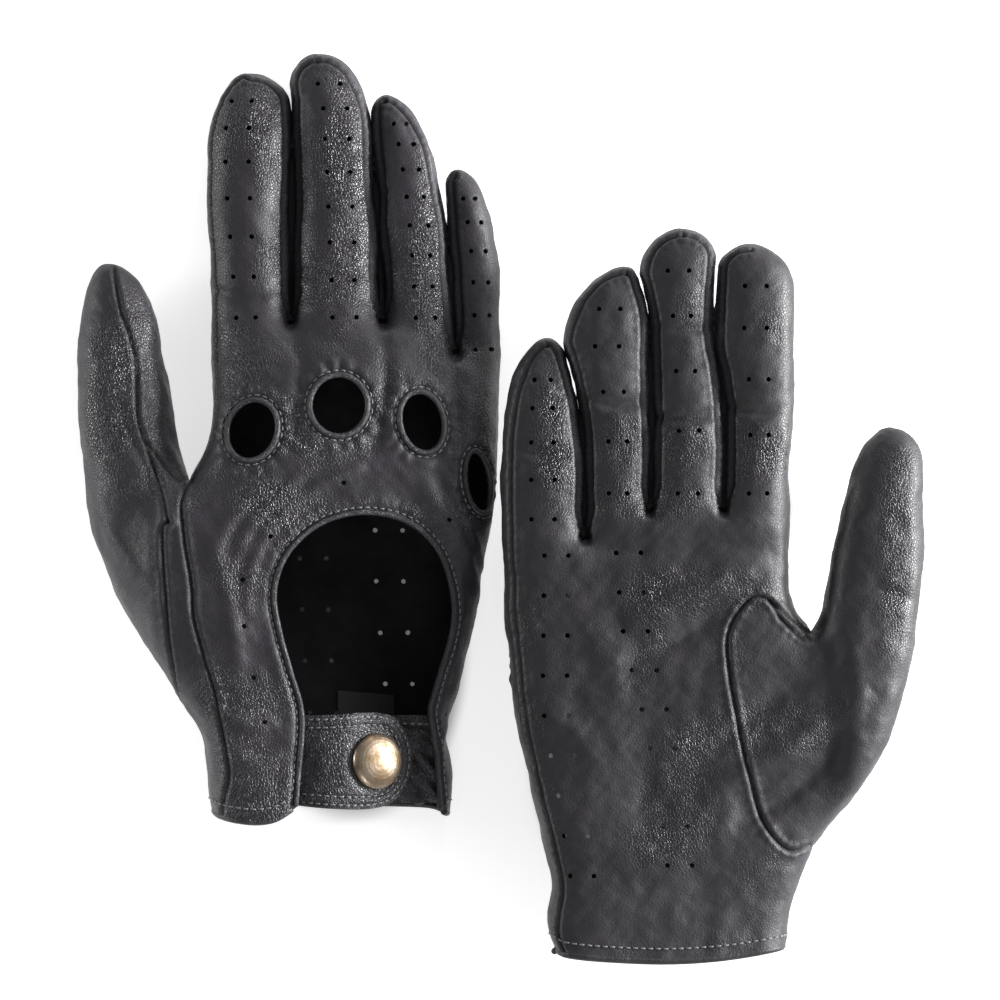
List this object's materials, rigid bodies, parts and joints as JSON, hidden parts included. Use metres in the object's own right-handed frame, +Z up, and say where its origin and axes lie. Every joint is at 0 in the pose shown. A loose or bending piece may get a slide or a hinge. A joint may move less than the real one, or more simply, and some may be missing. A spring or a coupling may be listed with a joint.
{
  "type": "leather driving gloves",
  "caption": "Leather driving gloves laid back up and palm up, with knuckle holes, a keyhole opening in the back, side-stripped fingers and a snap strap at the wrist.",
  "frame": {"origin": "centre of the pair's box at the height of the surface that both gloves lie on", "axes": "+Y towards the fingertips, +X from the back-up glove to the palm-up glove, +Z up"},
  "size_m": [0.2577, 0.2753, 0.0342],
  "materials": {
    "leather": "pebbled charcoal leather, satin",
    "binding": "smooth folded charcoal leather edges",
    "suede": "matte flesh side of the leather",
    "snap_metal": "aged, brushed",
    "label": "woven"
  },
  "bodies": {
    "glove1": {"glove1_back_panel": "leather", "glove1_palm_panel": "leather", "glove1_fourchette_index_middle": "leather", "glove1_fourchette_middle_ring": "leather", "glove1_fourchette_ring_little": "leather", "glove1_thumb": "leather", "glove1_thumb_quirk": "leather", "glove1_facing_index": "binding", "glove1_facing_middle": "binding", "glove1_facing_ring": "binding", "glove1_facing_little": "binding", "glove1_keyhole_binding": "binding", "glove1_wrist_binding": "binding", "glove1_base_tab": "leather", "glove1_snap_stud": "snap_metal", "glove1_snap_eyelet": "snap_metal", "glove1_size_label": "label"},
    "glove1_strap": {"glove1_strap_flap": "leather", "glove1_strap_lining": "suede", "glove1_snap_cap": "snap_metal", "glove1_snap_socket": "snap_metal"},
    "glove2": {"glove2_back_panel": "leather", "glove2_palm_panel": "leather", "glove2_fourchette_index_middle": "leather", "glove2_fourchette_middle_ring": "leather", "glove2_fourchette_ring_little": "leather", "glove2_thumb": "leather", "glove2_thumb_quirk": "leather", "glove2_facing_index": "binding", "glove2_facing_middle": "binding", "glove2_facing_ring": "binding", "glove2_facing_little": "binding", "glove2_keyhole_binding": "binding", "glove2_wrist_binding": "binding", "glove2_base_tab": "leather", "glove2_snap_stud": "snap_metal", "glove2_snap_eyelet": "snap_metal", "glove2_size_label": "label"},
    "glove2_strap": {"glove2_strap_flap": "leather", "glove2_strap_lining": "suede", "glove2_snap_cap": "snap_metal", "glove2_snap_socket": "snap_metal"}
  },
  "joints": [
    {"name": "glove1_strap_bend", "type": "hinge", "parent": "glove1", "child": "glove1_strap", "pos_m": [-0.0584, -0.0777, 0.0342], "axis": [0, -1, 0], "range_deg": [0, 140]},
    {"name": "glove2_lift", "type": "slide", "parent": "glove1", "child": "glove2", "axis": [0, 0, 1], "range_m": [0, 0.15]},
    {"name": "glove2_strap_bend", "type": "hinge", "parent": "glove2", "child": "glove2_strap", "pos_m": [0.0584, -0.1207, 0.0008], "axis": [0, -1, 0], "range_deg": [0, 140]}
  ]
}
